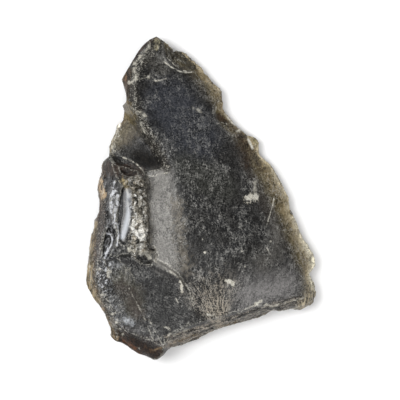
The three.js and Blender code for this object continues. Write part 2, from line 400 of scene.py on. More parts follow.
# Glass ran down the left side in narrow waves with raised glints, and broke into glitter below
# them. The upper ridge is gritty.
def slagRelief(tree, at, given):
    scale = stone["scales"]
    onWaves = onZone(tree, at, "waves", "relief", at.ragged) * at.upper
    onGlitter = onZone(tree, at, "glitter", "relief", at.ragged) * at.upper
    onGrit = onZone(tree, at, "ridgeGrit", "relief", at.ragged * 0.7)
    waves = tree.swing(at.seeded * (1, 0.3, 0.6) + at.ragged * (0.5, 0.5, 0), scale["waves"], 1.5)
    shards = tree.swing(at.seeded, scale["shards"], 2, 0.8)
    drips = 0
    for spot in glints:
        wide, points = spot[1], spot[4]
        off = tree.offPath(at.level, points) + at.ragged * 0.15
        drips = tree.fade(off, wide + 0.45, 0.1).op("MAXIMUM", drips)
    slag = waves * onWaves * 2.6 + shards * onGlitter + shards * onGrit * 1.4
    return slag * given["Slag"] + drips * given["Drips"]


# Ledges run along the bottom rim, the thin edges are chipped in small scallops, and rings
# spread from where the tip was struck.
def edgeRelief(tree, at, given):
    scale = stone["scales"]
    along, across, onRim = bottomRim(tree, at, at.ragged * 0.4)
    layers = tree.swing(tree.join(along, across, at.z) * stone["ledges"], 1.0, 2, 0.7)
    layers = layers * onRim * at.upper * 4
    scallops = tree.add("ShaderNodeTexVoronoi", {"feature": "SMOOTH_F1"},
                        {"Vector": at.seeded, "Scale": scale["scallops"]})
    nicks = (tree.noise(at.seeded, scale["nicks"], 3, 0.7) - 0.56) * 1.6
    chips = (scallops["Distance"] - 0.75 + nicks) * tree.fade(at.thickness, *stone["chipped"])
    out = tree.offPath(at.level, [strikes["tip"]])
    ripples = (out * stone["rings"]["turn"]).op("SINE") * tree.fade(out, *stone["rings"]["reach"])
    return layers * given["Layers"] + chips * given["Chips"] + ripples * given["Ripples"]


# the inputs of the relief, whose values are in the dictionary of the stone
reliefInputs = ("Swell", "Hackles", "Grit", "Crust", "Slag", "Chips", "Ripples", "Layers", "Drips",
                "Seed", "Smoothing")


def reliefTree(material):
    nodeTree = bpy.data.node_groups.new("stoneRelief", "GeometryNodeTree")
    tree = Tree(nodeTree)
    face = nodeTree.interface
    face.new_socket("Stone", in_out="INPUT", socket_type="NodeSocketGeometry")
    for name in reliefInputs:
        kind = "NodeSocketInt" if name == "Smoothing" else "NodeSocketFloat"
        face.new_socket(name, in_out="INPUT", socket_type=kind)
    face.new_socket("Stone", in_out="OUTPUT", socket_type="NodeSocketGeometry")
    given = tree.add("NodeGroupInput")
    at = Place(tree, tree.add("GeometryNodeInputPosition"))
    at.normal = tree.add("GeometryNodeInputNormal")
    kept = measureGlass(tree, at, smoothFaces(tree, at, given))
    at.thickness = tree.add("GeometryNodeInputNamedAttribute", {}, {"Name": "thickness"})
    at.seeded = at.plan + (0, 0, 1) * given["Seed"]
    at.upper = tree.fade(at.z, *stone["upperSide"])
    at.ragged = tree.swing(at.seeded, stone["scales"]["ragged"], 2) * 1.6

    rise = faceRelief(tree, at, given) + crustRelief(tree, at, given)
    rise = rise + slagRelief(tree, at, given) + edgeRelief(tree, at, given)
    raised = tree.put(kept, offset=at.normal * (rise * mm))
    for way, reach, line in stone["spread"]:
        share = tree.fade(tree.offPath(at.level, line), reach, stone["spreadFull"])
        raised = tree.put(raised, offset=share * tuple(step * mm for step in way))

    # nothing stands out of the box of the solid
    inside = at.place.op("MAXIMUM", tuple(cadBox[0])).op("MINIMUM", tuple(cadBox[1]))
    raised = tree.put(raised, position=inside)
    hump = (at.place - tree.blur(at.place, 5)).op("DOT_PRODUCT", at.normal)["Value"] * 1000
    raised = tree.keep(raised, "hump", hump)
    shaded = tree.add("GeometryNodeSetShadeSmooth", {}, {0: raised})
    joined = tree.add("GeometryNodeRealizeInstances", {}, {0: shaded})
    done = tree.add("GeometryNodeSetMaterial", {}, {"Geometry": joined, "Material": material})
    tree.add("NodeGroupOutput", {}, {0: done})
    return nodeTree


# The skin of the stone. The colours are linear. A spot is its strength, half its width, how wide
# its soft edge is, how ragged it is, and the points of the line it lies along.
finish = {
    "glass": [(0.0045, 0.004, 0.0035), (0.008, 0.0085, 0.01)],  # brown-black to blue-black
    "dust": (0.135, 0.132, 0.122),  # fine pale speckle and streaks
    "satin": 0.33,  # the roughness of a fresh face
    "specular": (0.5, 0.1),  # the specular level of clean glass, and of pitted or stained glass
    "refraction": 1.48,
    "bump": 0.16,  # the depth of the finest relief, mm
    "scales": {"patch": 0.22, "mottle": 0.8, "ragged": 1.1, "grain": 3.3, "scratch": 2.2, "worm": 0.85,
               "clot": 1.5, "bark": 1.3},
    # the painted glow of the glass by its thickness, and where the light starts to come through
    "glow": [(0.0, (0.62, 0.57, 0.44)), (0.5, (0.44, 0.385, 0.27)), (1.0, (0.27, 0.22, 0.13)),
             (1.6, (0.165, 0.127, 0.066)), (2.3, (0.095, 0.074, 0.034)), (3.1, (0.04, 0.032, 0.018)),
             (4.4, (0.012, 0.010, 0.008))],
    "glowDepth": 5,  # the thickness at the end of the ramp
    "lit": (4.4, 2.2),
    "dullThin": (3, 1.6),  # the thickness where the glass loses some of its gloss
    "rightSide": (-6, 2),  # where it starts: it is lit more, and only the left is tan
    "tan": {"colour": (0.17, 0.128, 0.072), "wide": 1.1, "above": (-29, -25)},
    # the bottom rim: two colours, and the waves of its layers along, across and upwards
    "rim": [(0.012, 0.009, 0.007), (0.4, 0.35, 0.28)],
    "rimLayers": (0.45, 2.4, 1.3),
    # streaks of dust: their waves in a radian, in 1 mm outwards and in 1 mm upwards
    "streaks": (42, 0.45, 0.4),
    # a fan of beige: its reach, and its middle and half its spread in radians
    "fan": {"colour": (0.36, 0.315, 0.25), "reach": 15, "middle": -0.25, "spread": 0.75},
    # the colour of a lump of the crust by its lot, and the height where the crust starts
    "crust": [(0.0, (0.055, 0.046, 0.034)), (0.2, (0.14, 0.12, 0.092)), (0.5, (0.3, 0.273, 0.22)),
              (0.75, (0.47, 0.44, 0.38)), (1.0, (0.7, 0.69, 0.65))],
    "crustAbove": (8.2, 9),
    "glossAbove": (7, 8),  # the height of the gloss below it
    "glitter": [(0.003, 0.003, 0.003), (0.5, 0.51, 0.53)],
    "glitterEnds": (-17.5, -21.5),  # where it thins out along the stone
    "grit": [(0.012, 0.01, 0.007), (0.36, 0.34, 0.29)],
    "fleck": (0.32, 0.29, 0.25),
    "worn": [(0.3, 0.28, 0.23), (0.62, 0.6, 0.53)],
    "wornRidge": (0.015, 0.06),  # how far a worn ridge stands out of what is round it
    "glint": (0.5, 0.51, 0.54),
}
# broad changes under the dust, among them painted sheen and glow, painted in this order: the colour and
# the spot
marks = {
    "blueZone": ((0.026, 0.029, 0.038), 0.7, 4.5, 4, 3, [(-6.5, 19), (-1, 11.5)]),
    "greenish": ((0.022, 0.023, 0.018), 0.6, 3, 3, 4, [(-3, 6), (4, 2)]),
    "brownish": ((0.03, 0.023, 0.017), 0.7, 2.6, 2.4, 4, [(9.5, 9.5), (12, 4), (17, -7)]),
    # painted sheen where the band faces the key lamp, over a paler haze of the glass
    "bandHaze": ((0.16, 0.153, 0.14), 0.9, 2.6, 2, 1.5, [(-8.2, 3.6), (-7.8, -8), (-6.8, -13.2)]),
    # painted sheen along the rounded crest at the left of the main face
    "crestSheen": ((0.055, 0.052, 0.048), 0.6, 0.6, 0.9, 2, [(-8.6, 10), (-6, 4.6), (-5, -3)]),
    # painted sheen where the lower right turns toward the low lamp
    "lowSheen": ((0.19, 0.182, 0.178), 0.85, 2.7, 8, 4, [(9.5, -19.4), (14, -18.6), (17.5, -17.2)]),
    "rightHaze": ((0.085, 0.08, 0.072), 0.75, 1.6, 4, 6, [(12, -13), (15, -10), (15.5, -5)]),
    "leftBlue": ((0.05, 0.053, 0.058), 0.7, 1, 1.6, 3, [(-15.8, -21.6), (-15, -23.2)]),
    # painted glow where light comes through the thin upper left of the hollow
    "hollowUpperGlow": ((0.14, 0.118, 0.075), 0.8, 1.6, 2.6, 3, [(-16.8, 11.5), (-14.6, 14.6)]),
    "leftGreen": ((0.034, 0.031, 0.017), 0.8, 2, 2.4, 5, [(-16.2, -16.8), (-14, -19), (-13.4, -22)]),
    "lowerDark": ((0.004, 0.004, 0.004), 0.9, 2.4, 3, 6, [(-8, -17.4), (-6, -22), (-9, -25)]),
    "lowerBrown": ((0.022, 0.015, 0.01), 0.9, 1.4, 1.4, 6, [(-16, -18), (-14, -19.6), (-12.6, -23)]),
    "tipHaze": ((0.07, 0.066, 0.057), 0.7, 1.6, 1.5, 6, [(-10.8, 28.6), (-8, 26)]),
    "bandSide": ((0.15, 0.13, 0.1), 0.6, 0.9, 1.4, 8, [(-4.9, -1), (-4.4, -8), (-3, -14)]),
}
# stains, painted shade, painted glow and painted highlights that lie over the dust, likewise
stainsAndPaintedLight = {
    # painted glow on the thin left edge of the hollow
    "hollowGlow": ((0.8, 0.76, 0.64), 0.9, 0.4, 0.5, 2, [(-17.3, 13.2), (-16.3, 15.2)]),
    "hollowEdge": ((0.3, 0.265, 0.19), 0.7, 0.35, 0.5, 2, [(-18.4, 9.2), (-17.4, 12.8)]),
    # painted shade in the lower right of the hollow
    "hollowShade": ((0.006, 0.005, 0.004), 0.9, 1.5, 2.2, 3, [(-14.2, 9.1), (-12, 8.3), (-9, 6.8)]),
    "neckOlive": ((0.1, 0.08, 0.042), 0.9, 1.1, 0.8, 3, [(-15.5, 19.2), (-14.8, 17), (-13.8, 15.6)]),
    "tipShade": ((0.022, 0.02, 0.014), 0.85, 1.3, 1.2, 2, [(-5.4, 29), (-3.4, 27.8), (-1.8, 26.6)]),
    "footHaze": ((0.3, 0.315, 0.33), 0.6, 0.5, 0.8, 5, [(-16.2, -24.3), (-13.9, -24.8)]),
    "fanDark": ((0.01, 0.009, 0.008), 0.75, 0.12, 0.5, 2, [(-2.4, -15.6), (-1, -18.6), (0.9, -22.4)]),
    "lowerPale": ((0.11, 0.105, 0.092), 0.6, 0.4, 1, 4, [(-15.4, -13.4), (-14.6, -16)]),
    "lowerShade": ((0.014, 0.011, 0.008), 0.6, 0.4, 1.4, 5,
                   [(-15.8, -19.6), (-13.4, -19.9), (-11.6, -18)]),
    "footPale": ((0.17, 0.17, 0.17), 0.35, 0.5, 1.2, 6, [(-14.6, -26.8), (-12.6, -26.6)]),
    # painted glow where light comes through the thin corner
    "cornerGlow": ((0.66, 0.62, 0.48), 0.8, 0.7, 1.4, 1.5,
                   [(22.6, -12.4), (23, -14.6), (22.4, -16), (22.8, -18)]),
    "footEdge": ((0.2, 0.1, 0.04), 0.6, 0.2, 0.4, 1.5, [(-17, -28.8), (-14.4, -30.4), (-11, -32)]),
    "waveHaze": ((0.16, 0.155, 0.155), 0.4, 0.5, 1, 6, [(-17.2, 2.6), (-17.4, -1), (-17.6, -4)]),
    "leftHaze": ((0.2, 0.205, 0.21), 0.5, 0.5, 0.8, 5, [(-17.6, -13.5), (-15.8, -13.2)]),
    "rimDark": ((0.028, 0.02, 0.012), 0.7, 0.6, 1, 4, [(5, 15.2), (8, 12.2), (10.4, 8.8), (12, 5.4)]),
    "rimGreen": ((0.17, 0.15, 0.06), 0.7, 0.25, 0.4, 2, [(8.4, 13.4), (11.2, 11), (11.8, 8.6)]),
    "rimRight": ((0.05, 0.047, 0.045), 0.6, 0.9, 1, 6, [(8, -24.6), (13, -22.8), (19, -21.6)]),
    "tipRust": ((0.016, 0.006, 0.004), 0.95, 0.55, 0.5, 2, [(-14.4, 26.8), (-12, 30.1), (-9.3, 32)]),
    "gritShade": ((0.022, 0.019, 0.016), 0.6, 0.5, 1, 5, [(-13.8, 21.8), (-12.6, 17.6), (-9.6, 10)]),
    "hollowBrown": ((0.075, 0.064, 0.047), 0.6, 1.1, 1.8, 4, [(-14.8, 11.6), (-12.8, 13)]),
    "tipBeige": ((0.3, 0.27, 0.18), 0.7, 0.5, 0.6, 3, [(-8.9, 31), (-9, 30)]),
    "neckSpot": ((0.22, 0.11, 0.05), 0.8, 0.4, 0.5, 2, [(-15.4, 24.5), (-15.2, 23.6)]),
    "neckBrown": ((0.05, 0.034, 0.022), 0.7, 0.9, 0.8, 3, [(-15, 26), (-15.2, 20), (-16.2, 17)]),
    "footRust": ((0.015, 0.008, 0.005), 0.95, 2.3, 3.6, 4,
                 [(-15.6, -28.8), (-12.4, -30.4), (-9.4, -31)]),
    "footEmber": ((0.1, 0.038, 0.014), 0.6, 0.2, 1.2, 3,
                  [(-15.8, -28.4), (-13.8, -29.8), (-12.4, -31.2)]),
    "footBrown": ((0.06, 0.034, 0.018), 0.5, 0.3, 0.8, 3, [(-10.8, -30), (-9.4, -31.2)]),
    "redSpot": ((0.06, 0.02, 0.015), 0.6, 0.5, 0.5, 2, [(-15, 6)]),
    "pitBrown": ((0.03, 0.02, 0.015), 0.7, 1.5, 1.2, 3, [(-18.6, 5.6), (-14.6, 5.2), (-12.8, 4.9)]),
    "sideBrown": ((0.045, 0.03, 0.018), 0.8, 0.9, 0.8, 3, [(-20.4, 5), (-20.4, -4), (-21.4, -9)]),
    "marginDark": ((0.016, 0.01, 0.009), 0.8, 0.8, 0.8, 4, [(-20, -3), (-20.4, -8), (-21, -12)]),
    "marginTan": ((0.16, 0.125, 0.074), 0.85, 1.0, 0.6, 3,
                  [(-21.6, -5.6), (-22.3, -10), (-22.5, -16.5), (-20.8, -21)]),
    "marginLine": ((0.045, 0.026, 0.014), 0.85, 0.12, 0.3, 2.5,
                   [(-21.2, -7.4), (-21.4, -12), (-21.6, -16.6), (-19.6, -21.4), (-18, -25)]),
    "heelTan": ((0.13, 0.092, 0.05), 0.8, 0.5, 0.5, 2, [(-20, -22.6), (-18.8, -25.8), (-17, -28.2)]),
    "tanSpot": ((0.25, 0.185, 0.115), 0.85, 0.6, 0.4, 1.6, [(-20.2, 3.2), (-20, 1.6), (-19.5, 0.2)]),
    "tanLeaf": ((0.24, 0.19, 0.1), 0.7, 0.5, 0.5, 2, [(-15.6, 3.4), (-14.4, 1.4)]),
    "pocket": ((0.02, 0.011, 0.006), 0.85, 0.6, 0.6, 1.5, [(3.4, 16.2), (4.6, 15.2)]),
    "redBlack": ((0.024, 0.014, 0.009), 0.7, 0.9, 1.8, 4, [(8, 11.6), (8.8, 9), (9.2, 6.6)]),
    # painted light on the shaded wall at the foot of the band
    "bandFootLight": ((0.13, 0.12, 0.1), 0.7, 0.5, 0.7, 3, [(-10.7, 3.4), (-10.5, -4), (-10.2, -11)]),
    # painted reflection of the key lamp on the glossy facet
    "glossReflection": ((0.4, 0.42, 0.455), 0.8, 0.45, 0.9, 0.5,
                  [(-14.4, 1.3), (-14.3, -2.4), (-14.9, -5.4), (-15.7, -7.8)]),
    # painted highlight along the right edge of the glossy facet
    "glossEdgeHighlight": ((0.42, 0.43, 0.43), 0.6, 0.05, 0.3, 0.6,
                    [(-14, 0.6), (-13.9, -2.6), (-14.5, -5.4)]),
    # painted shade on the facet left of the glossy one, which faces away from the key lamp
    "underGlossShade": ((0.004, 0.004, 0.006), 0.9, 0.3, 0.4, 1, [(-15.7, 0.8), (-15.8, -3), (-16.3, -5.6)]),
    "rimSeam": ((0.012, 0.009, 0.007), 0.85, 0.14, 0.3, 2,
                [(-8, -28.4), (-2, -26.6), (3.2, -25), (7.4, -23.4)]),
    "rimTan": ((0.15, 0.105, 0.06), 0.7, 0.2, 0.4, 3, [(-9.4, -30.4), (-5.2, -28.9), (-0.6, -27.4)]),
    "rimTanRight": ((0.16, 0.115, 0.065), 0.6, 0.2, 0.4, 3, [(3.6, -25.9), (7, -24.7)]),
    "rimShade": ((0.006, 0.005, 0.004), 0.9, 0.3, 0.25, 2,
                 [(5.5, -24.6), (9, -23.2), (12.4, -22.1), (16.4, -22.1)]),
    "stepShade": ((0.005, 0.004, 0.004), 0.85, 0.4, 0.4, 1,
                  [(-16, -12.6), (-10.2, -13.5), (-7.5, -14.8), (-4.6, -16.6)]),
    "cornerRim": ((0.33, 0.28, 0.19), 0.75, 0.9, 1.6, 3, [(21.8, -19.4), (20.2, -21.6)]),
}
# pale lines, broken along their length: cracks, scratches and ridges, and painted highlights along some
# arrises
lines = [
    # painted highlights on the arcs of the tip's scallop
    (1, 0.08, 0.16, 1, [(-7.4, 27), (-6, 26), (-4.5, 25.2), (-3, 24.9), (-2, 25.05)]),
    (0.9, 0.06, 0.14, 1, [(-6.8, 27.9), (-5.5, 26.5), (-4, 25.5), (-3, 25.1)]),
    (0.9, 0.06, 0.2, 1.5, [(-14.4, 22.8), (-12, 23.6), (-10, 24), (-9, 23.2), (-7, 23.6)]),
    # painted highlight along the lower lip of the hollow
    (0.9, 0.06, 0.22, 1.5, [(-16, 8.2), (-13, 6.8), (-12, 5.7), (-11.2, 4.6), (-10, 4.2), (-8.5, 4.6),
                            (-6.4, 5)]),
    # painted highlight on the edge of the step below the band
    (0.5, 0.03, 0.2, 2, [(-9.8, -12.3), (-8, -13.4), (-6.5, -14.3), (-5, -15.2), (-4, -15.9)]),
    # painted highlight inside the chip on the upper right rim
    (0.6, 0.1, 0.25, 1.5, [(2.6, 16.9), (3.2, 19), (3.8, 20.4)]),
    (1, 0.12, 0.15, 0.8, [(3.2, 14.7), (4, 15), (5, 14.7)]),
    (1, 0.07, 0.15, 0.6, [(15.2, 0.9), (14.6, 0.3), (14.2, -1.5), (13.7, -3.2), (13.1, -5.2),
                          (12.8, -6)]),
    (0.8, 0.06, 0.2, 1, [(13, -10), (13.8, -11.5)]),
    (0.5, 0.03, 0.25, 1.5, [(-14.5, -18), (-12, -22.6), (-9.5, -28.5)]),
    (0.6, 0.06, 0.25, 1.5, [(-10.4, -24.4), (-7.6, -29.6)]),
    # painted highlight along the ledge of the bottom rim
    (1, 0.12, 0.2, 2, [(7.4, -22.8), (11, -21.2), (14, -21.6), (17.5, -20.8), (20.5, -20)]),
    (0.6, 0.08, 0.2, 1.5, [(-22.2, -9.5), (-22.4, -14), (-22, -18)]),
    (0.8, 0.05, 0.2, 2.5, [(9, -23.5), (12.4, -22.5), (15.6, -22.9), (19, -22)]),
    (0.7, 0.05, 0.2, 2.5, [(-8.6, -28), (-5.4, -27.2), (-2.6, -26.2)]),
    (0.4, 0.04, 0.2, 1, [(-15.8, -13.8), (-15.9, -15.8)]),
    (0.4, 0.04, 0.2, 1, [(-15, -13.6), (-15.1, -15.6)]),
    (0.4, 0.04, 0.2, 1, [(-14.2, -14), (-14.3, -16)]),
]
# solid specks, and a painted glow and a painted highlight at the right rim
specksAndHighlights = [
    # painted glow along the thin right edge
    (0.9, 0.35, 0.5, 1, [(4.9, 16.8), (6.2, 15.2), (8.2, 13.8)]),
    # painted highlight inside a chip of the right rim
    (1, 0.24, 0.25, 0.8, [(9.4, 11.6), (10.2, 9.9)]),
    (0.8, 0.25, 0.25, 2, [(7.1, 13.1), (7.9, 13.6)]),
    (0.95, 0.6, 0.3, 4, [(9.2, -0.3), (10.8, 0.1)]),
    (0.5, 0.25, 0.5, 4, [(10.5, 1), (10.8, 3)]),
    (0.95, 0.32, 0.2, 2, [(4.9, -16.5), (5.8, -16.7), (6.3, -17.3)]),
    (0.95, 0.28, 0.15, 1, [(0.6, -10.9)]),
    (0.7, 0.15, 0.15, 1, [(8, -10.7)]),
    (0.7, 0.15, 0.15, 1, [(8.6, -13.7)]),
    (0.6, 0.12, 0.15, 1, [(0.2, -8.3)]),
    (0.7, 0.15, 0.15, 1, [(13.8, -8.7)]),
    (0.9, 0.25, 0.25, 2.5, [(10.8, -21), (11.8, -20.7)]),
    (0.8, 0.12, 0.2, 2, [(13, -21.3), (14.2, -21.5)]),
    (0.7, 0.15, 0.3, 2.5, [(3, -23.9)]),
    (0.7, 0.15, 0.3, 2.5, [(1.3, -23.3), (2.4, -23.4)]),
    (0.95, 0.25, 0.2, 2, [(-4.2, -16.6), (-3.9, -18.4)]),
    (0.7, 0.05, 0.15, 0.5, [(-5.1, -20), (-4.6, -21)]),
    (0.5, 0.2, 0.4, 3, [(-1.5, 17.8), (-0.4, 17.2)]),
    (0.8, 0.14, 0.3, 3, [(-14.3, 22.8), (-12.9, 23.5), (-13.4, 25.8)]),
    (0.8, 0.22, 0.3, 3, [(-11.1, 23.8), (-10.2, 24.1)]),
    (0.8, 0.14, 0.25, 2.5, [(-12.6, 17.1), (-11.2, 16.2)]),
    (0.8, 0.14, 0.25, 2.5, [(-12, 14.7), (-11.3, 12.9)]),
    (0.8, 0.12, 0.25, 1.5, [(-12.4, -30.1)]),
    (0.8, 0.16, 0.3, 3.5, [(-13.4, 26.4), (-11.6, 28.8), (-10.2, 30.4)]),
    (0.9, 0.3, 0.3, 3, [(-14.3, -10.2), (-12.8, -10.6), (-10.4, -11.5)]),
    (0.7, 0.15, 0.3, 3, [(-7.3, -25.8), (-6.6, -26.2)]),
    (0.7, 0.08, 0.2, 3, [(-6.6, -14.2), (-5.4, -15.1), (-4.6, -15.9)]),
    (0.8, 0.35, 0.4, 3, [(-10.9, -10.8), (-10.2, -11.9)]),
    (0.7, 0.2, 0.3, 5, [(-17.8, 9), (-17.3, 11.6), (-16.6, 13.4)]),
    (0.7, 0.2, 0.3, 3, [(-20.3, -14.2)]),
    (0.7, 0.3, 0.4, 4, [(-18.4, -14.2), (-18.4, -15.6)]),
    (0.7, 0.2, 0.3, 3, [(-19.7, -19.4)]),
    (0.8, 0.2, 0.2, 1.5, [(-17.9, -23.2)]),
    (0.8, 0.18, 0.2, 1.5, [(-17, -24.9)]),
    (0.8, 0.18, 0.2, 1.5, [(-16.3, -26.2)]),
    (0.8, 0.24, 0.2, 2, [(-15.8, -27.3)]),
]
# painted glints of the waves down the left side, each raised on a drip
glints = [
    (0.9, 0.12, 0.15, 1.2, [(-17.2, 3.2), (-17.5, 1.9)]),
    (0.9, 0.16, 0.2, 3, [(-17.3, 1.3), (-17.8, 0.2), (-18, -1.1)]),
    (0.8, 0.2, 0.25, 4, [(-16.7, 0.1), (-16.6, -1.3)]),
    (0.8, 0.14, 0.2, 4, [(-18, -1.7), (-17.8, -3)]),
    (0.7, 0.12, 0.2, 3, [(-17.1, -1.9), (-17, -2.6)]),
    (0.85, 0.12, 0.2, 1.5, [(-17.3, -2.8), (-17.2, -6)]),
    (0.8, 0.2, 0.3, 2, [(-17.4, -5), (-16.5, -5.3)]),
    (0.95, 0.1, 0.14, 0.6, [(-16.6, -5.6), (-16.4, -7.4), (-16.8, -9.6)]),
    (0.95, 0.14, 0.16, 0.8, [(-18.9, -7.1), (-18.1, -7.4), (-17.7, -8.3), (-18, -9.5), (-18.4, -10.2)]),
    (0.85, 0.22, 0.2, 1, [(-18.5, -10.2), (-19.3, -12)]),
]
# pitted or stained glass, which has no gloss
pitted = [
    (0.9, 1.9, 2.4, 3, [(-12.4, 7.8), (-8.6, 6.6)]),
    (0.95, 2.2, 1.2, 2, [(-16, -28.6), (-12.4, -30.4), (-8.6, -31.8)]),
    (0.9, 0.9, 1, 2, [(-13.8, 18.6), (-11, 12.6), (-8.4, 8.4)]),
    (0.9, 1.3, 1.2, 3, [(-14.4, 27), (-15, 22), (-15.8, 17)]),
    (0.95, 1.1, 0.6, 2, [(-14.6, 25.6), (-11.8, 30), (-9.2, 32)]),
    (0.95, 1.2, 0.8, 2, [(-15.5, 19.2), (-13.8, 15.6)]),
    (0.8, 0.9, 1, 3, [(-20.6, 5), (-20.6, -3), (-22, -9), (-22.4, -17), (-19.6, -22.4), (-16.6, -28)]),
    (0.8, 1.4, 1.4, 3, [(-18.4, 5.6), (-14.6, 5), (-12, 3.8)]),
    (0.9, 0.9, 1.8, 4, [(8, 11.6), (8.8, 9), (9.2, 6.6)]),
    (0.9, 0.6, 0.6, 2, [(3.4, 16.2), (4.6, 15.2)]),
    (0.6, 2, 2, 4, [(-16.4, 11.5), (-14, 15)]),
    (0.5, 1.6, 2, 6, [(-15.5, -16), (-13.5, -21)]),
]
# clean glass with little dust
cleans = [
    (0.9, 2.0, 2.4, 3, [(-12, 8.5), (-8.6, 6.8)]),
    (0.7, 1.5, 2, 4, [(-9, -15.5), (-5, -18.5)]),
    (0.9, 1.2, 1.4, 3, [(-15, -28.6), (-10, -31)]),
    (0.5, 3.6, 3, 6, [(-13, -17), (-8, -23)]),
    (0.5, 2.5, 4, 5, [(-6.5, 16), (-3, 20)]),
    (0.5, 3, 5, 6, [(10, -18.8), (16.5, -18)]),
    (0.5, 2, 2, 3, [(-8.2, 2.6), (-7.8, -8), (-6.8, -13)]),
]


# What the relief stored, and the noises that the finish is made of.
def addTextures(tree, at):
    scale = finish["scales"]
    at.thickness, at.hump, at.upper = [
        tree.add("ShaderNodeAttribute", {"attribute_name": name})["Fac"]
        for name in ("thickness", "hump", "upper")
    ]
    at.patch = tree.noise(at.plan, scale["patch"], 3, 0.55)
    at.mottle = tree.noise(at.plan, scale["mottle"], 2, 0.6)
    at.ragged = tree.swing(at.plan, scale["ragged"], 3, 0.6)
    at.grain = tree.noise(at.plan, scale["grain"], 2, 0.75)
    at.torn = at.ragged * 0.7 + (at.grain - 0.5) * 0.6


# How much of a spot there is at a place, from 0 to its strength.
def onSpot(tree, at, spot):
    strength, wide, soft, rough, points = spot
    off = tree.offPath(at.level, points) + at.torn * rough
    return tree.fade(off, wide + soft / 2, wide - soft / 2, strength)


# The glass itself, with its broad changes of colour, among them painted sheen and glow.
def glassColourAndPaintedLight(tree, at):
    colour = tree.mix(tree.fade(at.patch, 0.35, 0.65), *finish["glass"])
    for tint, *spot in marks.values():
        colour = tree.mix(onSpot(tree, at, spot) * at.upper, colour, tint)
    return colour


# Where the glass is thin, the light that comes through it is painted into its colour as a glow, more on
# the right than on the left.
def paintEdges(tree, at, colour):
    depth, tan = finish["glowDepth"], finish["tan"]
    right = tree.fade(at.x + at.y * 0.35, *finish["rightSide"])
    # further up the stone, glass of the same thickness looks darker
    darker = tree.fade(at.y, -14, 0) + tree.fade(at.y, 10, 16) * 0.5 - 0.72
    at.thin = at.thickness + at.torn * 1.7 + darker
    glow = tree.ramp(at.thin / depth, [(thick / depth, tint) for thick, tint in finish["glow"]])
    lit = tree.fade(at.thin, *finish["lit"]) * (right * 0.85 + 0.15)
    colour = tree.mix(lit, colour, tree.shade(glow, at.mottle * 1.6 + 0.2))
    onTan = tree.fade(at.thickness + at.torn * 1.8, tan["wide"] * 1.6, tan["wide"] * 0.7) * (1 - right)
    return tree.mix(onTan * tree.fade(at.y, *tan["above"], 0.85), colour, tan["colour"])


# Layers of beige run along the bottom rim.
def paintRim(tree, at, colour):
    along, across, at.onRim = bottomRim(tree, at, at.ragged * 1.5)
    lengthways, sideways, upwards = finish["rimLayers"]
    strip = tree.join(along * lengthways, across * sideways + at.ragged * 1.6, at.z * upwards)
    at.layers = tree.noise(strip, 1.0, 3, 0.75)
    rightward = tree.fade(along, 4, 14)
    beige = tree.fade(at.layers * 0.7 + at.grain * 0.3 + at.ragged * 0.12 - rightward * 0.03, 0.41, 0.58)
    beige = beige * (1 - rightward * 0.1) * tree.fade(at.mottle, 0.3, 0.55)
    return tree.mix(at.onRim * 0.9, colour, tree.mix(beige, *finish["rim"]))


# Fine streaks fan out from where the stone was struck, with dots of dust between them.
def paintDust(tree, at, colour):
    scale = finish["scales"]
    at.turn, at.far = tree.polar(at.level, strikes["bottom"])
    around, outward, upwards = finish["streaks"]
    ray = tree.join(at.turn * around + at.ragged * 5, at.far * outward, at.z * upwards)
    at.streak = tree.noise(ray, 1.0, 2, 0.8)
    at.scratch = tree.noise(at.plan * (1, 0.3, 1) + at.ragged * 2, scale["scratch"], 2, 0.8)
    worm = tree.swing(at.plan * (1, 0.6, 1) + at.ragged * 1.5, scale["worm"], 2, 0.6)
    thread = tree.fade(worm.op("ABSOLUTE"), 0.028, 0.006) * tree.fade(at.grain, 0.42, 0.55)
    busy = tree.fade(at.patch * 0.6 + at.mottle * 0.4, 0.43, 0.57)
    dust = tree.fade(at.grain, 0.46, 0.68) * 0.3 + tree.fade(at.scratch, 0.48, 0.68) * 0.35
    dust = (dust + tree.fade(at.streak, 0.5, 0.68) * 0.3 + thread * 0.5) * (busy * 1.1 + 0.25)
    dust = dust * (1 - tree.fade(at.y, 3, 11) * 0.3)
    clean = 1
    for spot in cleans:
        clean = (1 - onSpot(tree, at, spot)) * clean
    colour = tree.mix(dust * clean, colour, finish["dust"])
    at.speckle = tree.fade(at.grain * 0.4 + at.scratch * 0.3 + at.streak * 0.3, 0.4, 0.6)
    return tree.shade(colour, 1 + (at.speckle - 0.5) * (busy * 0.8 + 0.9) * (clean * 0.5 + 0.5))


# A beige fan spreads over the bottom rim from the same point.
def paintFan(tree, at, colour):
    fan = finish["fan"]
    reach, spread = fan["reach"], fan["spread"]
    onFan = tree.fade(at.far + at.ragged * 9, reach, reach * 0.15) * at.upper
    onFan = onFan * tree.fade((at.turn - fan["middle"]).op("ABSOLUTE"), spread, spread * 0.4)
    streaked = tree.fade(at.streak * 0.6 + at.grain * 0.4, 0.46, 0.57)
    return tree.mix(onFan * streaked, colour, fan["colour"])


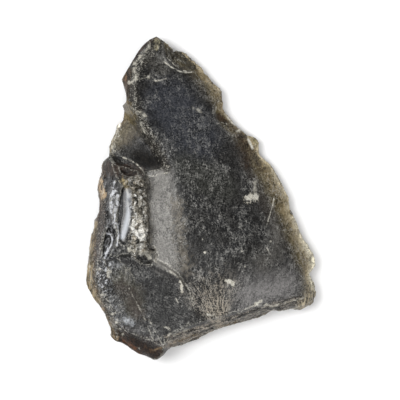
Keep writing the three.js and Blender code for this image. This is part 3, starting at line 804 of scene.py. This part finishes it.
# Glitter and waves lie down the left side, and grit along the upper ridge.
def paintSlag(tree, at, colour):
    at.clot = tree.noise(at.plan + at.ragged * 1.5, finish["scales"]["clot"], 3, 0.85)
    white = tree.fade(at.clot, 0.53, 0.6)
    foot = tree.fade(at.y + at.ragged * 4, *finish["glitterEnds"])
    at.onGlitter = onZone(tree, at, "glitter", "skin", at.ragged * 3) * at.upper * (1 - foot * 0.7)
    at.onWaves = onZone(tree, at, "waves", "skin", at.ragged * 2) * at.upper
    colour = tree.mix(at.onGlitter * 0.85, colour, tree.mix(white, *finish["glitter"]))
    colour = tree.mix(at.onWaves * 0.9, colour, tree.mix(white * 0.25, *finish["glitter"]))
    at.onGrit = onZone(tree, at, "ridgeGrit", "skin", at.ragged * 3) * at.upper
    dots = tree.fade(at.clot * 0.4 + at.grain * 0.6, 0.53, 0.62)
    return tree.mix(at.onGrit * (dots * 0.3 + 0.6), colour, tree.mix(dots, *finish["grit"]))


# Every lump of the crust has a colour of its own, and it is dark between the lumps.
def paintCrust(tree, at, colour):
    above = tree.fade(at.z, *finish["crustAbove"])
    at.onCrust = onZone(tree, at, "crust", "skin", at.ragged * 4) * above
    distance, lot = crustLumps(tree, at)
    # it is paler towards its foot, and darker on its right
    lot = lot + (at.grain - 0.5) * 1.4 + tree.fade(at.y, 1, -8) * 0.2 - tree.fade(at.x, -12, -10.4) * 0.3
    light = tree.fade(distance, 1.1, 0.3) * (at.grain * 1.1 + 0.65)
    return tree.mix(at.onCrust, colour, tree.shade(tree.ramp(lot + 0.17, finish["crust"]), light))


# Stains, and the painted shade, glow and highlights among them, have the texture of bark, apart from the
# gloss. The far left is flecked.
def paintStainsAndLight(tree, at, colour):
    at.gloss = onZone(tree, at, "gloss", "skin") * tree.fade(at.z, *finish["glossAbove"])
    bark = tree.noise(at.plan * (1.5, 0.35, 1) + at.ragged, finish["scales"]["bark"], 2, 0.7)
    bark = tree.fade(bark, 0.4, 0.62) - 0.5
    bark = (bark + (at.grain - 0.5) * 1.6) * (1 - at.gloss) * 1.3 + 1
    for tint, *spot in stainsAndPaintedLight.values():
        colour = tree.mix(onSpot(tree, at, spot) * at.upper, colour, tree.shade(tint, bark))
    flecks = onZone(tree, at, "side", "skin", at.ragged * 2) * tree.fade(at.grain, 0.54, 0.64)
    return tree.mix(flecks * at.upper * 0.6, colour, finish["fleck"])


# Worn ridges are pale, and so are a few lines and specks, some of them painted highlights and glow. The
# waves get painted glints.
def paintWearAndHighlights(tree, at, colour):
    broken = tree.fade(at.mottle * 0.5 + at.grain * 0.5, 0.4, 0.5)
    worn = tree.fade(at.hump + at.torn * 0.03, *finish["wornRidge"]) * 0.35
    worn = worn * tree.fade(at.grain, 0.42, 0.62)
    for spot in lines:
        worn = worn.op("MAXIMUM", onSpot(tree, at, spot) * broken)
    for spot in specksAndHighlights:
        worn = worn.op("MAXIMUM", onSpot(tree, at, spot))
    at.worn = worn
    colour = tree.mix(worn * at.upper, colour, tree.mix(tree.fade(at.grain, 0.35, 0.6), *finish["worn"]))
    shine = 0
    for spot in glints:
        shine = onSpot(tree, at, spot).op("MAXIMUM", shine)
    shine = shine * at.upper * (tree.fade(at.clot, 0.42, 0.52) * 0.5 + 0.45)
    return tree.mix(shine, colour, finish["glint"])


# Crust, grit and the worn, pale places (some of them painted highlights) are rough, and the glints of
# the left side are smooth.
def roughness(at):
    rough = finish["satin"] + (at.grain - 0.5) * 0.3
    rough = rough + at.onCrust * 0.55 + at.worn * 0.3 + at.onGrit * 0.3
    return rough - at.gloss * 0.2 - at.onWaves * 0.2 - at.onGlitter * 0.12


# The finest relief: streaks, specks of dust, and the grain of crust and grit.
def bumps(tree, at):
    height = at.grain * 0.6 + at.scratch * 0.35 + at.streak * 0.35 + at.layers * at.onRim * 1.5
    height = height + at.clot * at.onCrust * 2 + at.clot * at.onGrit * 2 + at.clot * at.onGlitter * 2
    height = height * (1 - at.gloss.op("MAXIMUM", at.onWaves) * 0.85)
    depth = finish["bump"] * mm
    return tree.add("ShaderNodeBump", {}, {"Height": height, "Distance": depth, "Strength": 1})


# Crust, thin edges, pitted glass and the dark between the speckle have little gloss.
def dullness(tree, at):
    thin = tree.fade(at.thin, *finish["dullThin"])
    dull = at.onCrust.op("MAXIMUM", at.onRim * 0.6).op("MAXIMUM", thin * 0.6)
    for spot in pitted:
        dull = dull.op("MAXIMUM", onSpot(tree, at, spot) * at.upper)
    band = onSpot(tree, at, marks["bandHaze"][1:])
    return dull.op("MAXIMUM", (1 - at.speckle) * (0.8 - band * 0.4)) * (1 - at.gloss)


def obsidian():
    material = bpy.data.materials.new("obsidian")
    material.use_nodes = True
    material.node_tree.nodes.clear()
    tree = Tree(material.node_tree)
    at = Place(tree, tree.add("ShaderNodeTexCoord")["Object"])
    addTextures(tree, at)
    colour = glassColourAndPaintedLight(tree, at)
    for paint in (paintEdges, paintRim, paintDust, paintFan, paintSlag, paintCrust, paintStainsAndLight,
                  paintWearAndHighlights):
        colour = paint(tree, at, colour)
    look = {"Base Color": colour, "Roughness": roughness(at), "Normal": bumps(tree, at),
            "IOR": finish["refraction"]}
    dull = dullness(tree, at)
    glassy, flat = [
        tree.add("ShaderNodeBsdfPrincipled", {}, {**look, "Specular IOR Level": specular})
        for specular in finish["specular"]
    ]
    mixed = tree.add("ShaderNodeMixShader", {}, {0: dull, 1: glassy, 2: flat})
    tree.add("ShaderNodeOutputMaterial", {}, {"Surface": mixed})
    return material


# An input is set by the identifier of its socket.
def setInput(modifier, name, value):
    items = modifier.node_group.interface.items_tree
    item = next(i for i in items if i.name == name and i.in_out == "INPUT")
    modifier[item.identifier] = value


# The stone is a fine, even mesh over the CAD solid, with the relief on it.
def makeStone():
    glass = obsidian()
    piece = cleanCopy(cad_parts["rough_obsidian"], "stone")
    grid = piece.modifiers.new("grid", "REMESH")
    grid.mode = "SHARP"
    grid.octree_depth = 8
    grid.scale = max(cadBox[1] - cadBox[0]) / (stone["cell"] * mm * 2 ** grid.octree_depth)
    plainMesh(piece)
    relief = piece.modifiers.new("relief", "NODES")
    relief.node_group = reliefTree(glass)
    for name in reliefInputs:
        setInput(relief, name, stone[name.lower()])
    mesh = plainMesh(piece)
    print("stone:", sum(len(p.vertices) - 2 for p in mesh.polygons), "triangles")
    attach(piece, "root")
    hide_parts("rough_obsidian")


# The lamps stand in the direction "from", "away" metres off. Their size is in metres and their
# power in watts.
studio = {
    "floor": {"size": 4, "colour": (0.96, 0.96, 0.96), "roughness": 0.8},
    "sky": 0.45,
    "lamps": {
        "key": {"from": (-0.66, 0.1, 0.75), "size": 0.5, "away": 0.6, "power": 2.8},
        "low": {"from": (0.24, -0.38, 0.89), "size": 0.4, "away": 0.6, "power": 1.1},
        "back": {"from": (-0.33, 0.33, 0.88), "size": 0.4, "away": 0.6, "power": 0.8},
    },
    "middle": (-0.24, -0.3, 2.3),  # what the camera looks at, mm
    "across": 80,  # how much of the table it sees, mm
    "away": 0.8,  # how far above it stands, m
    "sensor": 36,
}


def makeTable():
    floor = studio["floor"]
    bpy.ops.mesh.primitive_plane_add(size=floor["size"])
    table = bpy.context.object
    table.name = "table"
    paint = bpy.data.materials.new("paleTable")
    paint.use_nodes = True
    shader = paint.node_tree.nodes["Principled BSDF"]
    shader.inputs["Base Color"].default_value = (*floor["colour"], 1)
    shader.inputs["Roughness"].default_value = floor["roughness"]
    table.data.materials.append(paint)


def makeLight():
    world = bpy.data.worlds.new("studio")
    bpy.context.scene.world = world
    world.use_nodes = True
    sky = world.node_tree.nodes["Background"]
    sky.inputs["Color"].default_value = (1, 1, 1, 1)
    sky.inputs["Strength"].default_value = studio["sky"]
    for name, setting in studio["lamps"].items():
        lamp = bpy.data.lights.new(name, "AREA")
        lamp.shape = "DISK"
        lamp.size = setting["size"]
        lamp.energy = setting["power"]
        light = bpy.data.objects.new(name, lamp)
        toLight = Vector(setting["from"]).normalized()
        light.location = toLight * setting["away"]
        light.rotation_euler = toLight.to_track_quat("Z", "Y").to_euler()
        light.visible_camera = False
        bpy.context.collection.objects.link(light)


def makeCamera():
    lens = bpy.data.cameras.new("camera")
    lens.sensor_width = studio["sensor"]
    lens.lens = lens.sensor_width * studio["away"] / (studio["across"] * mm)
    camera = bpy.data.objects.new("camera", lens)
    camera.location = Vector(studio["middle"]) * mm + Vector((0, 0, studio["away"]))
    bpy.context.collection.objects.link(camera)
    bpy.context.scene.camera = camera
    bpy.context.scene.view_settings.view_transform = "Standard"


makeStone()
makeTable()
makeLight()
makeCamera()
print("studio: done")
